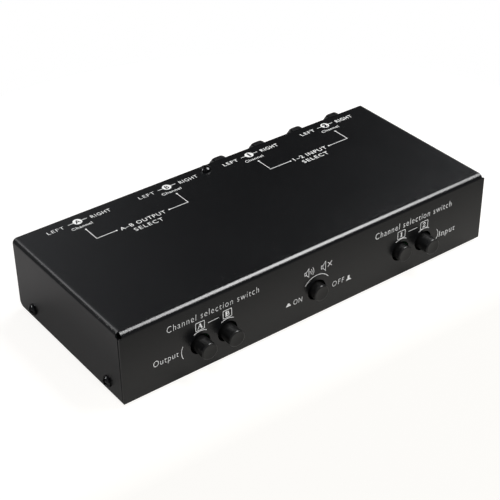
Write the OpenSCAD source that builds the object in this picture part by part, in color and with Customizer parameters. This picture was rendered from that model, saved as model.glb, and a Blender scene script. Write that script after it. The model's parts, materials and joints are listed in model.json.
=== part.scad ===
// Balanced audio source selector: two stereo inputs, two stereo outputs and a mute,
// all switched by latching push buttons in a folded steel case.
// Case frame used by the modules: X right, Y rearward from the front face, Z up from the case's
// underside. at_origin() then moves the whole object so that it stands centred on Z = 0.

/* [Case] */
// Width of the case, across the cover's side flaps
case_w = 260; // [255:1:340]
// Depth of the case, from the front face to the rear panel
case_d = 112; // [108:1:150]
// Height of the case without its feet
case_h = 45.5; // [45:0.5:60]
// Thickness of the folded cover sheet
cover_t = 1.2; // [1.0:0.1:1.5]
// Outside radius of the cover's bends
cover_bend = 3; // [2.2:0.1:3.4]
// Radius of the lower rear corner of each side flap
flap_corner = 3.5; // [2:0.5:6]
// Seam between the front flap and each side flap, at its foot
seam = 0.3; // [0.2:0.1:0.9]
// The same seam at its top
seam_top = 0.8; // [0.2:0.1:0.9]
// Width of the relief at each front corner of the cover
relief_w = 1.9; // [1.6:0.1:3]
// How far the corner relief reaches along the side bend, behind the front bend
corner_relief = 1; // [0:0.1:3]
// Thickness of the chassis sheet
chassis_t = 1.0; // [0.8:0.1:1.2]
// Outside radius of the chassis bends
chassis_bend = 1.6; // [1.4:0.1:2.5]
// Height of the chassis side flanges
side_flange_h = 10; // [9:0.5:14]
// Depth of the flange along the top of the rear panel
top_flange_d = 10; // [9:0.5:14]

/* [Feet] */
// Diameter of a rubber foot where it is stuck on
foot_d = 12; // [8:0.5:16]
// Height of a rubber foot
foot_h = 2.5; // [1.5:0.1:5]
// Distance from a foot's centre to the case's nearest sides
foot_inset = 16; // [12:1:24]

/* [Case screws] */
// Thread diameter of a case screw
case_screw_d = 3.5; // [3:0.1:4]
// Head diameter of a case screw
case_head_d = 7; // [6:0.1:8]
// Head height of a case screw
case_head_h = 2.4; // [1.6:0.1:3]
// Length of a case screw under its head
case_screw_l = 6; // [5:0.5:8]
// Distance of a side screw from the front or the rear of the case
side_screw_inset = 16; // [14:0.5:22]
// Height of the side screws above the case's underside
side_screw_z = 5.6; // [5:0.1:6.5]
// Distance of the top screw from the rear of the case
top_screw_inset = 4.7; // [4.5:0.1:6]

/* [Buttons] */
// Diameter of a button cap
cap_d = 10.2; // [8:0.2:12]
// Length of a button cap
cap_l = 13.5; // [12:0.5:18]
// Depth of the dish in a cap's face
cap_dish = 0.25; // [0.1:0.05:0.4]
// How far a released cap stands out of the front face
cap_out = 9; // [7:0.5:12]
// Height of the button axes above the case's underside
button_z = 17; // [16:0.5:20]
// Distance between the two buttons of a pair
button_pitch = 18; // [16:0.5:24]
// Distance from the case's middle plane to the centre of each pair, before the shift
pair_x = 72; // [60:1:90]
// How far both pairs are shifted to the right
pair_shift = 0.6; // [0:0.1:2]
// Full stroke of a button, from released to pushed home
stroke = 5; // [4:0.1:6]
// How far a latched button stays in
latched_in = 4.2; // [3.6:0.1:5]

/* [Switches] */
// Side of the square plunger stem
stem_s = 3.3; // [2.8:0.1:4]
// Width of a switch housing
switch_w = 10; // [9:0.5:14]
// Length of a switch housing
switch_l = 25; // [24:0.5:34]
// Height of a switch housing above the board
switch_h = 9; // [8.5:0.5:12]
// Wall of a switch housing
switch_wall = 1.2; // [1:0.1:1.8]
// Height of the plunger axis above the board
plunger_z = 5.5; // [5:0.1:7]
// Distance from the front face to the switch housings
switch_y = 16; // [15:0.5:22]
// Width of the slider inside a switch
slider_w = 6; // [5:0.2:7]
// Height of the slider's top above the plunger's axis
slider_top = 2.2; // [1.9:0.1:2.4]
// Wire diameter of a return spring
spring_wire = 0.5; // [0.3:0.05:0.6]
// Turns of a return spring
spring_turns = 6; // [4:1:7]

/* [Sockets] */
// Distance between neighbouring sockets
socket_pitch = 30.5; // [28:0.5:32]
// Height of the socket axes above the case's underside
socket_z = 28; // [24:0.5:34]
// How far the row of sockets is shifted to the right
socket_shift = 1; // [0:0.1:3]
// Width of a socket flange
flange_w = 26; // [25:0.5:27]
// Height of a socket flange
flange_h = 31; // [30:0.5:32]
// Thickness of a socket flange
flange_t = 2; // [1.6:0.1:3]
// Distance between the two socket screws, sideways
screw_dx = 19; // [18.5:0.1:19.5]
// Distance between the two socket screws, upward
screw_dz = 24; // [23.5:0.1:24.5]
// Diameter of a socket's barrel behind the panel
barrel_d = 23.6; // [22:0.1:24]
// Length of a socket's barrel behind the panel's outer face
barrel_l = 18; // [17:0.5:24]
// Diameter of the recess in an output socket
recess_d = 16.2; // [16:0.05:16.4]
// Depth of the recess in an output socket
recess_l = 14; // [13:0.5:15]
// Radial relief of the recess behind its guiding mouth
recess_relief = 0.2; // [0.1:0.05:0.3]
// Diameter of a contact pin
pin_d = 2.4; // [2.2:0.05:2.6]
// Diameter of a contact's body, from its solder cup to the socket's floor
contact_d = 3.2; // [3:0.05:3.4]
// Radius of the circle that the contacts stand on
pin_circle_r = 3.96; // [3.6:0.02:4.2]
// Diameter of the round opening in an input socket
opening_d = 19.3; // [19.1:0.05:19.6]
// Diameter of the insert in an input socket
insert_d = 15.9; // [15.7:0.05:16]
// Diameter of the collar round an input socket
collar_d = 23; // [22:0.5:24]
// How far an input socket stands out of the rear panel
collar_l = 6; // [5.5:0.5:10]
// Width of the hood over an input socket's release tab
hood_w = 14.6; // [12:0.2:14.8]
// Radius of the hood's upper corners
hood_r = 5.8; // [4:0.2:6]
// How far the hood rises above the flange
hood_rise = 0.2; // [0:0.1:1]

/* [Release levers] */
// Width of a release tab
tab_w = 8; // [7:0.2:9]
// Angle that a release tab swings down
tab_swing = 8; // [6:0.5:9]
// Diameter of a lever's pivot pin
pivot_d = 1.2; // [1:0.1:1.4]
// Width of a lever's arm
arm_w = 4.4; // [4:0.1:5]
// Thickness of a lever's arm
arm_t = 0.7; // [0.6:0.05:0.8]

/* [Board and leads] */
// Thickness of the circuit board
board_t = 1.6; // [1:0.1:2]
// Distance from the front face to the board's front edge
board_y = 9.5; // [8:0.5:12]
// Depth of the circuit board
board_d = 56; // [52:1:70]
// Thread diameter of a board screw
board_screw_d = 3; // [2.5:0.1:3.2]
// Head diameter of a board screw
board_head_d = 6; // [5:0.1:6.5]
// Head height of a board screw
board_head_h = 2.2; // [1.6:0.1:2.6]
// Width across the flats of a board standoff
standoff_af = 5.5; // [5:0.5:7]
// Diameter of an insulated conductor
wire_d = 1.4; // [1:0.1:1.6]
// Bend radius of the conductors
wire_bend = 2.8; // [2.4:0.1:4]

/* [Fits] */
// Gap between the cover and the chassis inside it
sheet_gap = 0.2; // [0.1:0.05:0.4]
// Gap round a button cap in the front face
cap_gap = 1.4; // [0.3:0.1:1.6]
// Gap round a screw in a plain hole
screw_gap = 0.2; // [0.1:0.05:0.4]
// Gap round a shank in a tapped hole, and round what is pressed in
press_gap = 0.05; // [0.02:0.01:0.1]
// Gap round a part that slides or turns in another
run_gap = 0.15; // [0.1:0.01:0.25]
// Radial gap between a pivot pin and its lever
pivot_gap = 0.08; // [0.04:0.01:0.1]

/* [Hidden] */
$fn = 64;
cut = 0.1; // how far a cutting shape runs past the face it cuts

// Buttons are counted from the left: A, B, mute, 1 and 2
button_x = [pair_shift - pair_x - button_pitch / 2, pair_shift - pair_x + button_pitch / 2, 0,
            pair_shift + pair_x - button_pitch / 2, pair_shift + pair_x + button_pitch / 2];
// The mute button and input 1 are drawn latched in, the others released
button_in = [0, 0, latched_in, latched_in, 0];

// Sockets are counted from the left: four outputs, then four inputs
socket_x = [for (i = [0:7]) socket_shift + (i - 3.5) * socket_pitch];
output_ids = [0, 1, 2, 3];
input_ids = [4, 5, 6, 7];

chassis_w = case_w - 2 * (cover_t + sheet_gap);
chassis_front = cover_t + sheet_gap;
chassis_top = case_h - cover_t - sheet_gap;
foot_x = case_w / 2 - foot_inset;
foot_y = [foot_inset, case_d - foot_inset];
side_screw_y = [side_screw_inset, case_d - side_screw_inset];

board_top = button_z - plunger_z;
board_w = 7 * socket_pitch + 2 * socket_shift + 18;
standoff_h = board_top - board_t - chassis_t;
standoff_x = board_w / 2 - 7;
standoff_y = [board_y + 16, board_y + board_d - 14.5];
standoff_foot_d = 4;
board_screw_l = board_t + 4.4;

cap_back = cap_l - cap_out;
cap_boss_d = 6.4;
cap_wall = 1.3;
cap_socket_l = 8;
cap_edge = 0.5;
collar_gap = 1.5;
spring_seat_t = 1;
spring_seat_d = 7.4;
spring_seat_y = cap_back + collar_gap + spring_seat_t;
end_slowing = 8;
slider_y = switch_y + switch_wall + run_gap;
slider_l = switch_l - 2 * switch_wall - stroke - 2 * run_gap;
terminal_pitch = 3;
terminal_rows = 2.5;
terminal_y = switch_y + switch_l / 2;
terminal_below = 1.2;
base_t = 1.2;

// The heart-shaped island, and the pocket round it that the latch wire's tip runs in
latch_wire_d = 0.7;
heart_w = 2.1;
heart_pocket_w = heart_w + 2 * latch_wire_d + 0.9;
heart_pocket_l = stroke + 2 * latch_wire_d + 0.2;
heart_pocket_depth = 0.9;
heart_pocket_y = slider_y + 3;
latch_lane = (heart_pocket_w + heart_w) / 4;
latch_tip_y = heart_pocket_y + heart_pocket_l - latch_wire_d;
heart_y = latch_tip_y - latched_in + heart_w / 4;
latch_foot_l = 2;

ring_d = 20.8;
ring_h = 0.7;
insert_front = collar_l - 0.8;
groove_floor = -9;
spigot_d = insert_d - 0.9;
pin_depth = 2.8;
contact_ring_d = 4.2;
contact_ring_t = 0.6;
cup_l = 5;
solder_wall = 0.4;
contact_end = -barrel_l - cup_l;
contact_spots = [[-pin_circle_r, 0], [pin_circle_r, 0], [0, -pin_circle_r]];
socket_screw_d = 2.5;
socket_head_d = 4.8;
socket_head_h = 1.6;
nut_af = 5;
nut_h = 2;
socket_screw_l = flange_t + chassis_t + nut_h + 0.6;
panel_hole_d = barrel_d + 0.8;
flange_corner = 3;

// Heights on a release lever are measured from the socket's axis, distances along Y from the panel
pivot_y = flange_t / 2;
pivot_z = 12;
arm_z = 10.75;
hook_z = 8.85;
hook_y = -7.2;
tab_z = 12.2;
tab_y = flange_t + 0.3;
hood_z = flange_h / 2 + hood_rise;
tab_floor = opening_d / 2 + 1.25;
tab_end = collar_l + 0.3;
grip_d = 0.6;
grip_pitch = (tab_end - tab_y) / 4;
spring_pocket_y = (tab_y + tab_end) / 2;
spring_pocket_d = 2.8;
spring_pocket_top = 14.6;

header_y = board_y + board_d - 7.5;
header_w = 3 * pin_circle_r;
header_d = 6;
header_h = 2.5;
header_wall_t = 0.8;
plug_h = 6;
plug_hole_l = 1;

middle_y = (case_d + tab_end - cap_out) / 2;

// Places everything in the object's own frame
module at_origin() {
    translate([0, -middle_y, foot_h]) children();
}

module at_socket(i) {
    at_origin() translate([socket_x[i], case_d, socket_z]) children();
}

module at_button(i) {
    at_origin() translate([button_x[i], 0, button_z]) children();
}

// Extrudes an outline drawn in X and Z along Y, from y0 to y1
module along_y(y0, y1) {
    translate([0, y1, 0]) rotate([90, 0, 0]) linear_extrude(y1 - y0) children();
}

// Extrudes an outline drawn in Y and Z along X, centred on the middle plane
module along_x(w) {
    rotate([90, 0, 90]) linear_extrude(w, center = true) children();
}

module rod_y(d, y0, y1) {
    along_y(y0, y1) circle(d = d);
}

// A revolved outline whose axis runs along Y
module turned_y() {
    rotate([-90, 0, 0]) rotate_extrude() children();
}

module rounded_rect(w, h, r) {
    square([w - 2 * r, h], center = true);
    square([w, h - 2 * r], center = true);
    for (x = [-1, 1], y = [-1, 1]) translate([x * (w / 2 - r), y * (h / 2 - r)]) circle(r);
}

// A quarter ring of sheet: its centre of bend is at the origin, the corner at +X +Y
module bend(r, t) {
    intersection() {
        difference() {
            circle(r);
            circle(r - t);
        }
        square(r);
    }
}

// Pan head screw along -Z, with its head standing on Z = 0
module pan_screw(d, head_d, head_h, length) {
    slot_w = head_d * 0.17;
    slot_l = head_d * 0.62;
    edge = head_h * 0.45;
    difference() {
        union() {
            rotate_extrude() {
                square([head_d / 2 - edge, head_h]);
                square([head_d / 2, head_h - edge]);
                translate([head_d / 2 - edge, head_h - edge]) intersection() {
                    circle(edge);
                    square(edge);
                }
            }
            translate([0, 0, -length]) cylinder(d = d, h = length + cut);
        }
        for (a = [0, 90]) rotate(a) translate([-slot_l / 2, -slot_w / 2, head_h * 0.4]) {
            cube([slot_l, slot_w, head_h]);
        }
    }
}

module case_screw() {
    pan_screw(case_screw_d, case_head_d, case_head_h, case_screw_l);
}

// Outline of the cover seen from the front: top, two bends and two side flaps
module cover_section() {
    for (s = [-1, 1]) scale([s, 1]) {
        translate([case_w / 2 - cover_t, 0]) square([cover_t, case_h - cover_bend]);
        translate([case_w / 2 - cover_bend, case_h - cover_bend]) bend(cover_bend, cover_t);
    }
    translate([-case_w / 2 + cover_bend, case_h - cover_t]) square([case_w - 2 * cover_bend, cover_t]);
}

module cover_solid() {
    flap_top = case_h - cover_bend;
    front_w = case_w - 2 * relief_w;
    relief_end = cover_bend + corner_relief;
    // Top and side flaps, from the corner reliefs to the rear
    along_y(relief_end - cut, case_d) cover_section();
    // The top runs on between the reliefs to the front bend
    along_y(cover_bend, relief_end) translate([-front_w / 2, case_h - cover_t]) {
        square([front_w, cover_t]);
    }
    // The side flaps run on below the reliefs to the seam behind the front flap
    for (s = [-1, 1]) translate([s * (case_w - cover_t) / 2, 0, 0]) along_x(cover_t) polygon([
        [cover_t + seam, 0], [relief_end + cut, 0], [relief_end + cut, flap_top],
        [cover_t + seam_top, flap_top]
    ]);
    // Front bend, between the two corner reliefs
    along_x(front_w) {
        translate([cover_bend, flap_top]) mirror([1, 0]) bend(cover_bend, cover_t);
    }
    // Front flap, across the whole width
    along_x(case_w) square([cover_t, flap_top]);
}

module cover() {
    color([0.11, 0.115, 0.12]) at_origin() difference() {
        cover_solid();
        for (x = button_x) translate([x, 0, button_z]) rod_y(cap_d + 2 * cap_gap, -cut, cover_t + cut);
        for (y = side_screw_y) translate([0, y, side_screw_z]) rotate([0, 90, 0]) {
            cylinder(d = case_screw_d + 2 * screw_gap, h = case_w + 2 * cut, center = true);
        }
        translate([0, case_d - top_screw_inset, case_h - cover_t - cut]) {
            cylinder(d = case_screw_d + 2 * screw_gap, h = cover_t + 2 * cut);
        }
        // Rounded lower rear corners of the side flaps
        translate([0, case_d - flap_corner, 0]) along_x(case_w + 2 * cut) difference() {
            square(flap_corner + cut);
            translate([0, flap_corner]) circle(flap_corner);
            translate([-cut, flap_corner]) square(flap_corner + 3 * cut);
        }
    }
}

module chassis_solid() {
    inner_w = chassis_w - 2 * chassis_bend;
    rear_relief = 0.6;
    floor_end = case_d - chassis_bend;
    // Floor with its two side flanges
    along_y(chassis_front, floor_end - rear_relief) {
        translate([-inner_w / 2, 0]) square([inner_w, chassis_t]);
        for (s = [-1, 1]) scale([s, 1]) {
            translate([inner_w / 2, chassis_bend]) mirror([0, 1]) bend(chassis_bend, chassis_t);
            translate([chassis_w / 2 - chassis_t, chassis_bend]) {
                square([chassis_t, side_flange_h - chassis_bend]);
            }
        }
    }
    // The bend up to the rear panel, between the corner reliefs
    along_x(inner_w - 2 * rear_relief) {
        translate([floor_end - rear_relief - cut, 0]) square([rear_relief + cut, chassis_t]);
        translate([floor_end, chassis_bend]) mirror([0, 1]) bend(chassis_bend, chassis_t);
    }
    // The rear panel
    along_x(chassis_w) translate([case_d - chassis_t, chassis_bend]) {
        square([chassis_t, chassis_top - 2 * chassis_bend]);
    }
    // The bend and the flange along the top of the rear panel
    along_x(inner_w) {
        translate([floor_end, chassis_top - chassis_bend]) bend(chassis_bend, chassis_t);
        translate([case_d - top_flange_d, chassis_top - chassis_t]) {
            square([top_flange_d - chassis_bend, chassis_t]);
        }
    }
}

module chassis() {
    tapped_d = case_screw_d + 2 * press_gap;
    color([0.13, 0.13, 0.135]) at_origin() difference() {
        chassis_solid();
        for (y = side_screw_y) translate([0, y, side_screw_z]) rotate([0, 90, 0]) {
            cylinder(d = tapped_d, h = case_w, center = true);
        }
        translate([0, case_d - top_screw_inset, chassis_top - chassis_t - cut]) {
            cylinder(d = tapped_d, h = chassis_t + 2 * cut);
        }
        for (x = [-1, 1], y = standoff_y) translate([x * standoff_x, y, -cut]) {
            cylinder(d = standoff_foot_d + 2 * press_gap, h = chassis_t + 2 * cut);
        }
        for (x = socket_x) translate([x, case_d, socket_z]) {
            rod_y(panel_hole_d, -chassis_t - cut, cut);
            for (s = [-1, 1]) translate([s * screw_dx / 2, 0, -s * screw_dz / 2]) {
                rod_y(socket_screw_d + 2 * screw_gap, -chassis_t - cut, cut);
            }
        }
    }
}

module side_screws() {
    color([0.08, 0.08, 0.085]) at_origin() for (s = [-1, 1], y = side_screw_y) {
        translate([s * case_w / 2, y, side_screw_z]) rotate([0, s * 90, 0]) case_screw();
    }
}

module top_screw() {
    color([0.08, 0.08, 0.085]) at_origin() {
        translate([0, case_d - top_screw_inset, case_h]) rotate(45) case_screw();
    }
}

module rubber_feet() {
    edge = 0.6;
    taper = 0.8;
    color([0.07, 0.07, 0.07]) at_origin() for (x = [-foot_x, foot_x], y = foot_y) {
        translate([x, y, -foot_h]) rotate_extrude() polygon([
            [0, 0], [foot_d / 2 - taper - edge, 0], [foot_d / 2 - taper, edge],
            [foot_d / 2, foot_h - edge], [foot_d / 2, foot_h], [0, foot_h]
        ]);
    }
}

// Button cap, seen as in its released place; its face is dished and its rim is rounded
module cap(i) {
    face_r = cap_d / 2 - cap_edge;
    dish_r = (pow(face_r, 2) + pow(cap_dish, 2)) / (2 * cap_dish);
    color([0.12, 0.12, 0.12]) at_button(i) translate([0, button_in[i] - cap_out, 0]) difference() {
        turned_y() {
            difference() {
                union() {
                    translate([0, cap_edge]) square([cap_d / 2, cap_l - cap_edge]);
                    square([face_r, cap_l]);
                    translate([face_r, cap_edge]) circle(cap_edge);
                }
                translate([0, cap_dish - dish_r]) circle(dish_r, $fn = 360);
                translate([cap_boss_d / 2, cap_l - cap_socket_l]) {
                    square([cap_d / 2 - cap_wall - cap_boss_d / 2, cap_l]);
                }
            }
        }
        along_y(cap_l - cap_socket_l, cap_l + cut) square(stem_s + 2 * press_gap, center = true);
    }
}

// Plunger: stem, spring seat and the slider with the heart-shaped island on its top
module plunger(i) {
    stem_front = cap_l - cap_socket_l - cap_out;
    slider_bottom = base_t + run_gap - plunger_z;
    pocket_floor = slider_top - heart_pocket_depth;
    color([0.85, 0.85, 0.82]) at_button(i) translate([0, button_in[i], 0]) {
        along_y(stem_front, slider_y + cut) square(stem_s, center = true);
        along_y(spring_seat_y - spring_seat_t, spring_seat_y) circle(d = spring_seat_d);
        difference() {
            along_y(slider_y, slider_y + slider_l) translate([-slider_w / 2, slider_bottom]) {
                square([slider_w, slider_top - slider_bottom]);
            }
            translate([-heart_pocket_w / 2, heart_pocket_y, pocket_floor]) {
                cube([heart_pocket_w, heart_pocket_l, heart_pocket_depth + cut]);
            }
        }
        translate([0, heart_y, pocket_floor - cut]) heart_island();
    }
}

// A heart pointing to the rear; the latch wire's tip catches in the notch at its front
module heart_island() {
    lobe = heart_w / 4;
    linear_extrude(heart_pocket_depth) difference() {
        union() {
            for (s = [-1, 1]) translate([s * lobe, 0]) circle(lobe);
            polygon([[-heart_w / 2, 0], [heart_w / 2, 0], [0, heart_w]]);
        }
        translate([0, -lobe]) circle(d = latch_wire_d);
    }
}

// Centre of a coil spring's wire at the share u of its length; it climbs more slowly at both ends
function helix_point(r, length, wire, turns, u) = [
    r * cos(360 * turns * u),
    r * sin(360 * turns * u),
    wire / 2 + (length - wire) * (u - end_slowing * sin(360 * u) / 360)
];

// Coil spring along +Z: a tube swept along the helix
module coil_spring(outer_d, wire, length, turns) {
    sides = 6;
    steps = 10 * turns;
    r = (outer_d - wire) / 2;
    points = [for (k = [0:steps]) let (
        u = k / steps,
        centre = helix_point(r, length, wire, turns, u),
        a = 360 * turns * u
    ) for (s = [0:sides - 1]) let (b = 360 * s / sides + 90)
        centre + wire / 2 * [cos(b) * cos(a), cos(b) * sin(a), sin(b)]
    ];
    walls = [for (k = [0:steps - 1], s = [0:sides - 1]) let (
        p = k * sides + s,
        q = k * sides + (s + 1) % sides
    ) [[p, q, q + sides], [p, q + sides, p + sides]]];
    ends = [
        [for (s = [sides - 1:-1:0]) s],
        [for (s = [0:sides - 1]) steps * sides + s]
    ];
    polyhedron(points, concat([for (w = walls) each w], ends), convexity = 10);
}

module return_spring(i) {
    front = spring_seat_y + button_in[i];
    color([0.75, 0.75, 0.77]) at_button(i) translate([0, front, 0]) rotate([-90, 0, 0]) {
        coil_spring(spring_seat_d - 0.6, spring_wire, switch_y - front, spring_turns);
    }
}

// Switch housing: a moulded box, open below, with a slot for the latch wire in its roof
module switch_housing(i) {
    roof = switch_h - plunger_z;
    inner_w = slider_w + 2 * run_gap;
    stem_hole = stem_s + 2 * run_gap;
    tip_slot_l = 2;
    color([0.16, 0.16, 0.17]) at_button(i) difference() {
        along_y(switch_y, switch_y + switch_l) translate([-switch_w / 2, -plunger_z]) {
            square([switch_w, switch_h]);
        }
        along_y(switch_y + switch_wall, switch_y + switch_l - switch_wall) {
            translate([-inner_w / 2, -plunger_z - cut]) {
                square([inner_w, plunger_z + slider_top + run_gap + cut]);
            }
        }
        // The base plate's rebate
        along_y(switch_y + switch_wall / 2, switch_y + switch_l - switch_wall / 2) {
            translate([-switch_w / 2 + switch_wall / 2, -plunger_z - cut]) {
                square([switch_w - switch_wall, base_t + cut]);
            }
        }
        along_y(switch_y - cut, switch_y + switch_wall + cut) square(stem_hole, center = true);
        translate([latch_lane - latch_wire_d / 2 - run_gap, latch_tip_y - tip_slot_l / 2, 0]) {
            cube([latch_wire_d + 2 * run_gap, tip_slot_l, roof + cut]);
        }
        translate([latch_lane, switch_y + switch_l - switch_wall / 2, roof - latch_foot_l]) {
            cylinder(d = latch_wire_d + 2 * press_gap, h = latch_foot_l + cut);
        }
    }
}

// Base plates that close the switches below, moulded round two rows of terminals
module switch_bases() {
    fit = press_gap;
    color([0.55, 0.4, 0.25]) for (i = [0:4]) at_button(i) translate([0, terminal_y, -plunger_z]) {
        translate([0, 0, base_t / 2]) {
            cube([switch_w - switch_wall - 2 * fit, switch_l - switch_wall - 2 * fit, base_t], center = true);
        }
        for (s = [-1, 1], k = [-2.5:2.5]) translate([s * terminal_rows, k * terminal_pitch, 0]) {
            translate([0, 0, (cut - board_t - terminal_below) / 2]) {
                cube([0.4, 0.8, board_t + terminal_below + cut], center = true);
            }
        }
    }
}

// Wires that hold a pushed button in: one end is fixed at the rear, the tip runs in the pocket
module latch_wires() {
    lie = switch_h - plunger_z + latch_wire_d / 2;
    rear = switch_y + switch_l - switch_wall / 2;
    tip = slider_top - heart_pocket_depth + run_gap;
    rod = latch_wire_d;
    color([0.8, 0.8, 0.82]) for (i = [0:4]) at_button(i) translate([latch_lane, 0, 0]) {
        translate([0, 0, lie]) rod_y(rod, latch_tip_y, rear);
        for (y = [latch_tip_y, rear]) translate([0, y, lie]) sphere(d = rod);
        translate([0, latch_tip_y, tip]) cylinder(d = rod, h = lie - tip);
        translate([0, rear, lie - latch_foot_l]) cylinder(d = rod, h = latch_foot_l);
    }
}

module main_board() {
    pin_hole = 1.1;
    color([0.1, 0.3, 0.16]) at_origin() translate([0, 0, board_top - board_t]) difference() {
        translate([-board_w / 2, board_y, 0]) cube([board_w, board_d, board_t]);
        for (x = [-1, 1], y = standoff_y) translate([x * standoff_x, y, -cut]) {
            cylinder(d = board_screw_d + 2 * screw_gap, h = board_t + 2 * cut);
        }
        for (x = button_x, s = [-1, 1], k = [-2.5:2.5]) {
            translate([x + s * terminal_rows, terminal_y + k * terminal_pitch, -cut]) {
                cylinder(d = pin_hole, h = board_t + 2 * cut);
            }
        }
        for (x = socket_x, k = [-1:1]) translate([x + k * pin_circle_r, header_y, -cut]) {
            cylinder(d = pin_hole, h = board_t + 2 * cut);
        }
    }
}

module board_standoffs() {
    color([0.75, 0.68, 0.4]) at_origin() for (x = [-1, 1], y = standoff_y) {
        translate([x * standoff_x, y, 0]) difference() {
            union() {
                translate([0, 0, chassis_t]) {
                    cylinder(d = standoff_af / cos(30), h = standoff_h, $fn = 6);
                }
                cylinder(d = standoff_foot_d, h = chassis_t + cut);
            }
            translate([0, 0, chassis_t + 0.8]) {
                cylinder(d = board_screw_d + 2 * press_gap, h = standoff_h);
            }
        }
    }
}

module board_screws() {
    color([0.75, 0.75, 0.77]) at_origin() for (x = [-1, 1], y = standoff_y) {
        translate([x * standoff_x, y, board_top]) rotate(30) {
            pan_screw(board_screw_d, board_head_d, board_head_h, board_screw_l);
        }
    }
}

// Headers that the leads plug on to, with their pins through the board
module board_headers() {
    color([0.93, 0.92, 0.86]) at_origin() for (x = socket_x) translate([x, header_y, board_top]) {
        translate([-header_w / 2, -header_d / 2, 0]) cube([header_w, header_d, header_h]);
        translate([-header_w / 2, header_d / 2 - header_wall_t, 0]) {
            cube([header_w, header_wall_t, header_h + 3]);
        }
        for (k = [-1:1]) translate([k * pin_circle_r, 0, -board_t - terminal_below]) {
            cylinder(d = 0.9, h = board_t + terminal_below + cut);
        }
    }
}

module lead_plugs() {
    plug_w = header_w - 0.4;
    plug_d = header_d - header_wall_t - 2 * run_gap;
    color([0.95, 0.95, 0.92]) at_origin() for (x = socket_x) {
        translate([x, header_y, board_top + header_h]) difference() {
            translate([-plug_w / 2, -header_d / 2, 0]) cube([plug_w, plug_d, plug_h]);
            for (k = [-1:1]) translate([k * pin_circle_r, 0, plug_h - plug_hole_l]) {
                cylinder(d = wire_d + 2 * press_gap, h = plug_hole_l + cut);
            }
        }
    }
}

// Three conductors from a socket's solder cups to the plug on the board
module lead(i) {
    plug_top = board_top + header_h + plug_h;
    run = case_d + contact_end - header_y;
    at_socket(i) for (spot = contact_spots) translate([spot[0], contact_end, spot[1]]) {
        drop = socket_z + spot[1] - plug_top + plug_hole_l - cut;
        rod_y(wire_d, -run + wire_bend, 0);
        translate([0, -run + wire_bend, -wire_bend]) rotate([0, -90, 0]) rotate(-90) {
            rotate_extrude(angle = 90) translate([wire_bend, 0]) circle(d = wire_d);
        }
        translate([0, -run, -drop]) cylinder(d = wire_d, h = drop - wire_bend);
    }
}

module output_leads() {
    color([0.75, 0.12, 0.1]) for (i = output_ids) lead(i);
}

module input_leads() {
    color([0.85, 0.85, 0.85]) for (i = input_ids) lead(i);
}

module socket_flange() {
    along_y(0, flange_t) rounded_rect(flange_w, flange_h, flange_corner);
}

module socket_screw_holes() {
    for (s = [-1, 1]) translate([s * screw_dx / 2, 0, -s * screw_dz / 2]) {
        rod_y(socket_screw_d + 2 * screw_gap, -cut, flange_t + cut);
    }
}

// Output socket: a flanged shell whose round recess takes a plug's nose, guided at its mouth
module output_socket(i) {
    recess_floor = flange_t - recess_l;
    mouth = 0.5;
    notch_w = 5.2;
    notch_depth = 1.3;
    color([0.1, 0.1, 0.105]) at_socket(i) difference() {
        union() {
            socket_flange();
            rod_y(barrel_d, -barrel_l, cut);
            rod_y(ring_d, 0, flange_t + ring_h);
        }
        rod_y(recess_d + 2 * recess_relief, recess_floor, 0);
        rod_y(recess_d, -cut, flange_t + ring_h + cut);
        translate([0, flange_t + ring_h, 0]) turned_y() {
            polygon([[0, -mouth], [recess_d / 2, -mouth], [recess_d / 2 + mouth, 0], [0, cut]]);
        }
        // The window that the plug's latch drops into
        translate([-notch_w / 2, recess_floor + 4, 0]) cube([notch_w, 5, recess_d / 2 + notch_depth]);
        for (spot = contact_spots) translate([spot[0], 0, spot[1]]) {
            rod_y(contact_d + 2 * press_gap, -barrel_l - cut, recess_floor + cut);
        }
        socket_screw_holes();
    }
}

// A contact's body, up to y1, with the bored cup that its lead is soldered into, cut away above
module contact_body(y1) {
    bore_d = wire_d + 0.2;
    bore_l = 3;
    difference() {
        rod_y(contact_d, contact_end, y1);
        rod_y(bore_d, contact_end + solder_wall, contact_end + bore_l);
        translate([-contact_d, contact_end + solder_wall, bore_d / 4]) {
            cube([2 * contact_d, bore_l - 2 * solder_wall, contact_d]);
        }
    }
}

// Contacts of the output sockets: a pin in the recess, and a ring that stops on the barrel's end
module output_pins() {
    tip_r = 0.6;
    floor_y = flange_t - recess_l;
    pin_l = recess_l - pin_depth;
    color([0.8, 0.78, 0.7]) for (i = output_ids) at_socket(i) {
        for (spot = contact_spots) translate([spot[0], 0, spot[1]]) {
            contact_body(floor_y);
            rod_y(contact_ring_d, -barrel_l - contact_ring_t, -barrel_l);
            translate([0, floor_y, 0]) turned_y() {
                translate([0, -cut]) square([pin_d / 2, pin_l + cut - tip_r]);
                square([pin_d / 2 - tip_r, pin_l]);
                translate([pin_d / 2 - tip_r, pin_l - tip_r]) intersection() {
                    circle(tip_r);
                    square(tip_r);
                }
            }
        }
    }
}

// Outline of the part of an input socket that stands out: a round collar under a hood
module collar_outline() {
    circle(d = collar_d);
    translate([-hood_w / 2, 0]) square([hood_w, hood_z - hood_r]);
    translate([-hood_w / 2 + hood_r, 0]) square([hood_w - 2 * hood_r, hood_z]);
    for (s = [-1, 1]) translate([s * (hood_w / 2 - hood_r), hood_z - hood_r]) circle(hood_r);
}

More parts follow.
